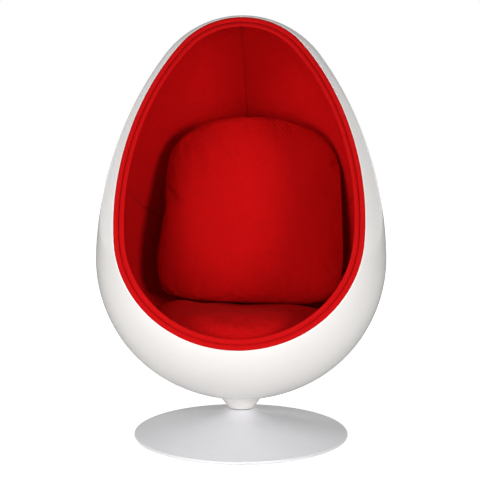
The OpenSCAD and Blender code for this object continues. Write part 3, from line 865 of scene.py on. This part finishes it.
def make_back_cushion(back, shell, lining):
    """Back cushion: two crowned faces sewn together at their edge, narrower and arched at the top, blown up
    as cloth, leaning on the lining and standing on the seat cushion."""
    x, y, rise = cushion_net(back.squareness, side_power=2.4, crown_power=2.2)
    faces, inner = cushion_faces()
    fall = np.maximum(y, 0) * back.arch * x ** 2
    across = back.half_width * x * (1 - back.taper * y)
    along = back.half_height * (y - fall + 1)
    front = np.stack([across, along, back.crown * rise], axis=-1)
    rear = (front * [1, 1, -1])[inner]
    local = np.concatenate([front.reshape(-1, 3), rear])
    weave = np.concatenate([np.stack([across, along], axis=-1).reshape(-1, 2), rear[:, :2]])
    axes = turned(turned(np.eye(3), -back.turn, 2), math.pi / 2 - back.lean, 0)
    origin = np.array([back.shift, back.foot_y, back.foot_z])
    piece = make_piece("back_cushion_cover", local @ axes + origin, faces, weave)
    close_mesh(piece)
    held = np.concatenate([~inner.ravel(), np.full(inner.sum(), False)])
    stuff(piece, held, 3.0, 0.022, Egg(shell), padding_inset(shell, lining))
    refine(piece)

    def folds(across, along, out):
        """Slanting puckers at the upper corner towards +X, and fainter upright ones along both ends."""
        top = 2 * back.half_height
        slanting = ridges(0.8 * across + 0.6 * along, spacing=0.012)
        upright = ridges(across, spacing=0.017, sway=3 * np.sin(across / 0.03))
        corner = bell(across, middle=0.085, reach=0.085) * bell(along, middle=top - 0.045, reach=0.032)
        ends = bell(along, middle=top - 0.02, reach=0.03) + bell(along, middle=0.02, reach=0.03)
        on_front = out > 0.004
        return back.pucker * on_front * (corner * slanting + 0.3 * ends * upright)

    pucker(piece, axes, origin, folds)
    finish_piece(piece, bpy.data.materials["cushion_wool"], "seat", ["back_cushion"])


def make_seat_cushion(seat, shell, lining):
    """Seat cushion: a round crowned upper face and a flat lower one on the board, sewn at the waist, blown up
    as cloth, with a hollow under the back cushion and a swelling beside it. Each of these is a height times
    a bell across and a bell along the cushion."""
    # Height, and the bells' middles and reaches across and along
    swellings = (
        (seat.bulge, -0.20, 0.06, 0.04, 0.10),
        (-seat.hollow, 0.02, 0.12, 0.05, 0.13),
        (-seat.droop, 0.28, 0.07, 0.0, 0.20),
    )
    board_gap = 0.0003
    x, y, rise = cushion_net(seat.squareness, side_power=3.4, crown_power=2.6)
    faces, inner = cushion_faces()
    waist = seat.waist * seat.thick
    across, along = seat.half_width * x, seat.half_depth * y
    crown = (seat.thick - waist) * rise
    front = np.stack([across, along, crown], axis=-1)
    for height, middle_x, reach_x, middle_y, reach_y in swellings:
        front[..., 2] += height * bell(across, middle_x, reach_x) * bell(along, middle_y, reach_y) * rise
    rear = np.stack([across, along, np.maximum(-crown, board_gap - waist)], axis=-1)[inner]
    local = np.concatenate([front.reshape(-1, 3), rear])
    weave = np.concatenate([np.stack([across, along], axis=-1).reshape(-1, 2), rear[:, :2]])
    axes = turned(np.eye(3), -lining.board_rake, 0)
    board_middle = [0, -shell.forward, lining.board_height]
    origin = np.array([0, shell.forward - seat.front, waist]) @ axes + board_middle
    piece = make_piece("seat_cushion_cover", local @ axes + origin, faces, weave)
    close_mesh(piece)
    held = np.concatenate([~inner.ravel(), np.full(inner.sum(), True)])
    stuff(piece, held, 2.0, 0.005, Egg(shell), padding_inset(shell, lining))
    refine(piece)

    def folds(across, along, out):
        """Upright puckers on the middle of the front."""
        upright = ridges(across, spacing=0.0145, sway=1.5 * np.sin(along / 0.02))
        front = bell(across, middle=-0.015, reach=0.095) * bell(along, middle=-0.265, reach=0.045) * upright
        return seat.pucker * (out > 0) * front

    pucker(piece, axes, origin, folds)
    finish_piece(piece, bpy.data.materials["cushion_wool"], "seat", ["seat_cushion"])


def give_finish(material, *nodes):
    """Puts a material on CAD nodes whose shape is right as it is."""
    for name in nodes:
        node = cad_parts[name]
        node.data.materials.clear()
        node.data.materials.append(material)


# Operators


class PODCHAIR_OT_shell(Operator):
    """Make the glass-fibre shell and finish the collar under it"""

    bl_idname = "podchair.shell"
    bl_label = "Outer shell"

    def execute(self, context):
        replace_with_shell(context.scene.podchair_shell)
        give_finish(bpy.data.materials["gel_coat"], "neck_collar")
        return {"FINISHED"}


class PODCHAIR_OT_lining(Operator):
    """Make the four sewn panels of the lining and their topstitching"""

    bl_idname = "podchair.lining"
    bl_label = "Lining"

    def execute(self, context):
        shell, lining = context.scene.podchair_shell, context.scene.podchair_lining
        egg = Egg(shell)
        inner = shell.wall + lining.foam + lining.cloth
        material = wool_cloth("lining_wool", lining.cloth_colour, spacing=0.0040)
        for node in LINING_NODES:
            lining_panel(node, egg, lining, inner, material)
        # Polyester thread: smoother and glossier than the wool, twisted every millimetre
        thread = plain_finish(
            "polyester_thread", "#8E0507", roughness=0.5, size=0.001, contrast=0.2, depth=0.0001
        )
        stitch_lining(egg, lining, inner, thread)
        return {"FINISHED"}


class PODCHAIR_OT_edging(Operator):
    """Make the welt and the padded roll round the opening"""

    bl_idname = "podchair.edging"
    bl_label = "Edging"

    def execute(self, context):
        shell, edging = context.scene.podchair_shell, context.scene.podchair_edging
        egg = Egg(shell)
        material = wool_cloth("edging_wool", edging.cloth_colour, spacing=0.0022)
        welt = (shell.wall + edging.gap, shell.wall + edging.welt)
        roll = (welt[1] + edging.gap, welt[1] + edging.roll)
        edging_tube("welt", "rim_welt", egg, welt, edging.welt_proud, edging.overlap, edging, material)
        edging_tube("roll", "rim_roll", egg, roll, edging.roll_proud, 0, edging, material)
        return {"FINISHED"}


class PODCHAIR_OT_cushions(Operator):
    """Make the loose seat cushion and back cushion"""

    bl_idname = "podchair.cushions"
    bl_label = "Cushions"

    def execute(self, context):
        scene = context.scene
        wool_cloth("cushion_wool", scene.podchair_back.cloth_colour, spacing=0.0044)
        make_back_cushion(scene.podchair_back, scene.podchair_shell, scene.podchair_lining)
        make_seat_cushion(scene.podchair_seat, scene.podchair_shell, scene.podchair_lining)
        return {"FINISHED"}


class PODCHAIR_OT_hardware(Operator):
    """Finish the base and the inner CAD pieces"""

    bl_idname = "podchair.hardware"
    bl_label = "Base and hardware"

    def execute(self, context):
        give_finish(satin_enamel(linear("#E4E4E7")), "base_cone")
        # Black primer on mild steel: dull, with dry spray grain
        primer = plain_finish(
            "black_primer", "#2B2B2D", roughness=0.75, size=0.002, contrast=0.2, depth=0.0001
        )
        give_finish(primer, "floor_plate", "column", "swivel_plate")
        # Painted grey cast iron: rough as the sand left it
        iron = plain_finish(
            "painted_cast_iron", "#3A3B3E", roughness=0.8, size=0.003, contrast=0.25, depth=0.0004
        )
        give_finish(iron, "ballast_ring")
        # Ground steel: bright and even
        ground = plain_finish(
            "ground_steel", "#B9BBBF", roughness=0.28, size=0.0008, contrast=0.05, depth=0.00002, metallic=1
        )
        give_finish(ground, "spindle", "spindle_washer", "lower_race", "upper_race", "bearing_balls")
        # Zinc plating on steel: cool, with a faint crystal pattern
        zinc = plain_finish(
            "zinc_plating", "#A9ACB2", roughness=0.38, size=0.0015, contrast=0.1, depth=0.00003, metallic=1
        )
        give_finish(zinc, "ballast_screws", "column_screws", "spindle_circlip")
        give_finish(zinc, "mounting_bolts", "mounting_washers")
        # Turned brass: warm, with fine tool marks
        brass = plain_finish(
            "turned_brass", "#C9A45C", roughness=0.32, size=0.001, contrast=0.08, depth=0.00003, metallic=1
        )
        give_finish(brass, "ball_cage", "threaded_inserts")
        # Natural acetal: milky and waxy
        acetal = plain_finish(
            "natural_acetal", "#E8E3D4", roughness=0.42, size=0.01, contrast=0.04, depth=0.00002
        )
        give_finish(acetal, "lower_bush", "upper_bush")
        # Moulded rubber: black and dull
        rubber = plain_finish(
            "moulded_rubber", "#1D1D1E", roughness=0.85, size=0.003, contrast=0.15, depth=0.0001
        )
        give_finish(rubber, "glide_ring", "access_cap")
        # Polyurethane foam: cream, with open cells about 1 mm wide
        foam = plain_finish(
            "polyurethane_foam", "#E2D7B0", roughness=0.95, size=0.002, contrast=0.15, depth=0.0008
        )
        give_finish(foam, "liner_foam")
        give_finish(birch_plywood(), "seat_board", "mounting_pad")
        return {"FINISHED"}


# Stage


def disc_light(name, place, width, power):
    """Soft round light at a place, turned towards the lights' aim."""
    lamp = bpy.data.lights.new(name, "AREA")
    lamp.shape = "DISK"
    lamp.size = width
    lamp.energy = power
    light = bpy.data.objects.new(name, lamp)
    bpy.context.scene.collection.objects.link(light)
    way = np.array(LIGHTS_AIM) - np.array(place)
    flat = math.hypot(way[0], way[1])
    light.location = place
    light.rotation_euler = (math.pi / 2 + math.atan2(way[2], flat), 0, math.atan2(-way[0], way[1]))


def fade(tree, value, start, end, low=0.0, high=1.0):
    """Smooth change from a low to a high level while a value goes from start to end."""
    ends = {"Value": value, "From Min": start, "From Max": end, "To Min": low, "To Max": high}
    return add_node(tree, "MapRange", ends, interpolation_type="SMOOTHSTEP")


def studio_floor(glow):
    """Pale painted floor. The camera sees it lit by the lamps and by a glow of its own that grows with the
    distance from the chair, so that it turns white and still keeps the chair's shadow. Glossy finishes see a
    glow only on its middle strip behind the chair."""
    size = 30.0
    grow_from, grow_to = 1.0, 2.6
    strip_from, strip_to = 0.35, 0.7
    behind_from, behind_to = 1.2, 2.2
    corners = np.array([[-size, -size, 0], [size, -size, 0], [size, size, 0], [-size, size, 0]])
    floor = make_piece("studio_floor", corners, np.array([[0, 1, 2, 3]]))
    inputs = {"Base Color": opaque(linear("#F4F4F4")), "Roughness": 0.9}
    material, tree, shader = new_material("studio_floor", inputs)
    solid = add_node(tree, "TexCoord", output="Object")
    patches = grain(tree, solid, size=0.4)
    tint(tree, shader, patches, opaque(linear("#F2F2F2")), opaque(linear("#F6F6F6")))
    ray = add_node(tree, "LightPath").node.outputs
    place = add_node(tree, "SeparateXYZ", {"Vector": solid}).node.outputs
    away = add_node(tree, "VectorMath", {0: solid}, "Value", operation="LENGTH")
    direct = {0: ray["Is Camera Ray"], 1: ray["Is Transmission Ray"]}
    seen = add_node(tree, "Math", direct, operation="MAXIMUM")
    growth = fade(tree, away, grow_from, grow_to, glow, 1.0)
    growing = add_node(tree, "Math", {0: seen, 1: growth}, operation="MULTIPLY")
    beside = add_node(tree, "Math", {0: place["X"]}, operation="ABSOLUTE")
    middle = fade(tree, beside, strip_from, strip_to, 1.0, 0.0)
    behind = fade(tree, place["Y"], behind_from, behind_to)
    strip = add_node(tree, "Math", {0: middle, 1: behind}, operation="MULTIPLY")
    mirrored = add_node(tree, "Math", {0: strip, 1: ray["Is Glossy Ray"]}, operation="MULTIPLY")
    level = add_node(tree, "Math", {0: growing, 1: mirrored}, operation="MAXIMUM")
    own = add_node(tree, "Emission", {"Strength": level})
    both = add_node(tree, "AddShader", {0: shader.outputs[0], 1: own})
    tree.links.new(both, tree.nodes["Material Output"].inputs["Surface"])
    floor.data.materials.append(material)


def studio_sky(room_level, wing_level, horizon_level):
    """White room for the camera. It lights the chair softly, above all from behind, and glossy finishes
    reflect a room that is brighter at its sides and at the backdrop's foot. All fades run over shares of the
    direction's unit length."""
    front_share = 0.08
    world = bpy.data.worlds.new("studio")
    world.use_nodes = True
    tree = world.node_tree
    way = add_node(tree, "TexCoord", output="Generated")
    way = add_node(tree, "SeparateXYZ", {"Vector": way}).node.outputs
    ray = add_node(tree, "LightPath").node.outputs
    beside = add_node(tree, "Math", {0: way["X"]}, operation="ABSOLUTE")
    low = fade(tree, way["Z"], 0.04, 0.20, horizon_level, 0.0)
    middle = fade(tree, beside, 0.25, 0.45, 1.0, 0.0)
    foot = add_node(tree, "Math", {0: low, 1: middle}, operation="MULTIPLY")
    wings = fade(tree, beside, 0.28, 0.42, 0.0, wing_level)
    shown = add_node(tree, "Math", {0: wings, 1: foot}, operation="ADD")
    shown = add_node(tree, "Math", {0: shown, 1: ray["Is Glossy Ray"]}, operation="MULTIPLY")
    light = add_node(tree, "Math", {0: shown, 1: room_level}, operation="ADD")
    behind = fade(tree, way["Y"], -0.2, 0.2, front_share, 1.0)
    light = add_node(tree, "Math", {0: light, 1: behind}, operation="MULTIPLY")
    level = add_node(tree, "Math", {0: light, 1: ray["Is Camera Ray"]}, operation="MAXIMUM")
    back = tree.nodes["Background"]
    back.inputs["Color"].default_value = (1, 1, 1, 1)
    tree.links.new(level, back.inputs["Strength"])
    bpy.context.scene.world = world


def photo_camera():
    """Camera at the photograph's viewing angle: a little to the side, above the chair's middle and looking
    slightly down."""
    distance, height = 3.0, 0.8458
    side, tilt, roll = math.radians(1.677), math.radians(90 - 4.7145), math.radians(-0.097)
    camera = bpy.data.cameras.new("camera")
    camera.sensor_width = 36
    camera.lens = 74.24
    camera.shift_x = -0.0031
    view = bpy.data.objects.new("camera", camera)
    bpy.context.scene.collection.objects.link(view)
    view.location = (distance * math.sin(side), -distance * math.cos(side), height)
    view.rotation_euler = (tilt, roll, side)
    bpy.context.scene.camera = view


class PODCHAIR_OT_stage(Operator):
    """Make the pale floor, the soft lights and the camera"""

    bl_idname = "podchair.stage"
    bl_label = "Studio"

    def execute(self, context):
        stage = context.scene.podchair_stage
        studio_floor(stage.floor_glow)
        studio_sky(stage.room_level, stage.wing_level, stage.horizon_level)
        for name, (place, width) in LIGHTS.items():
            disc_light(name, place, width, getattr(stage, name + "_power"))
        photo_camera()
        context.scene.view_settings.view_transform = "Standard"
        return {"FINISHED"}


OPERATORS = (
    PODCHAIR_OT_shell,
    PODCHAIR_OT_lining,
    PODCHAIR_OT_edging,
    PODCHAIR_OT_cushions,
    PODCHAIR_OT_hardware,
    PODCHAIR_OT_stage,
)
SETTINGS = {
    "podchair_shell": ShellSettings,
    "podchair_lining": LiningSettings,
    "podchair_edging": EdgingSettings,
    "podchair_back": BackSettings,
    "podchair_seat": SeatSettings,
    "podchair_stage": StageSettings,
}


class PODCHAIR_PT_panel(Panel):
    """Settings and steps of the pod chair"""

    bl_idname = "PODCHAIR_PT_panel"
    bl_label = "Pod chair"
    bl_space_type = "VIEW_3D"
    bl_region_type = "UI"
    bl_category = "Pod chair"

    def draw(self, context):
        for step in OPERATORS:
            self.layout.operator(step.bl_idname)
        for name, kind in SETTINGS.items():
            box = self.layout.box()
            for key in kind.__annotations__:
                box.prop(getattr(context.scene, name), key)


def register():
    for kind in (*SETTINGS.values(), *OPERATORS, PODCHAIR_PT_panel):
        bpy.utils.register_class(kind)
    for name, kind in SETTINGS.items():
        setattr(bpy.types.Scene, name, PointerProperty(type=kind))


def unregister():
    for name in SETTINGS:
        delattr(bpy.types.Scene, name)
    for kind in (PODCHAIR_PT_panel, *reversed(OPERATORS), *SETTINGS.values()):
        bpy.utils.unregister_class(kind)


def main():
    register()
    for step in OPERATORS:
        group, action = step.bl_idname.split(".")
        getattr(getattr(bpy.ops, group), action)()


if __name__ == "__main__":
    main()
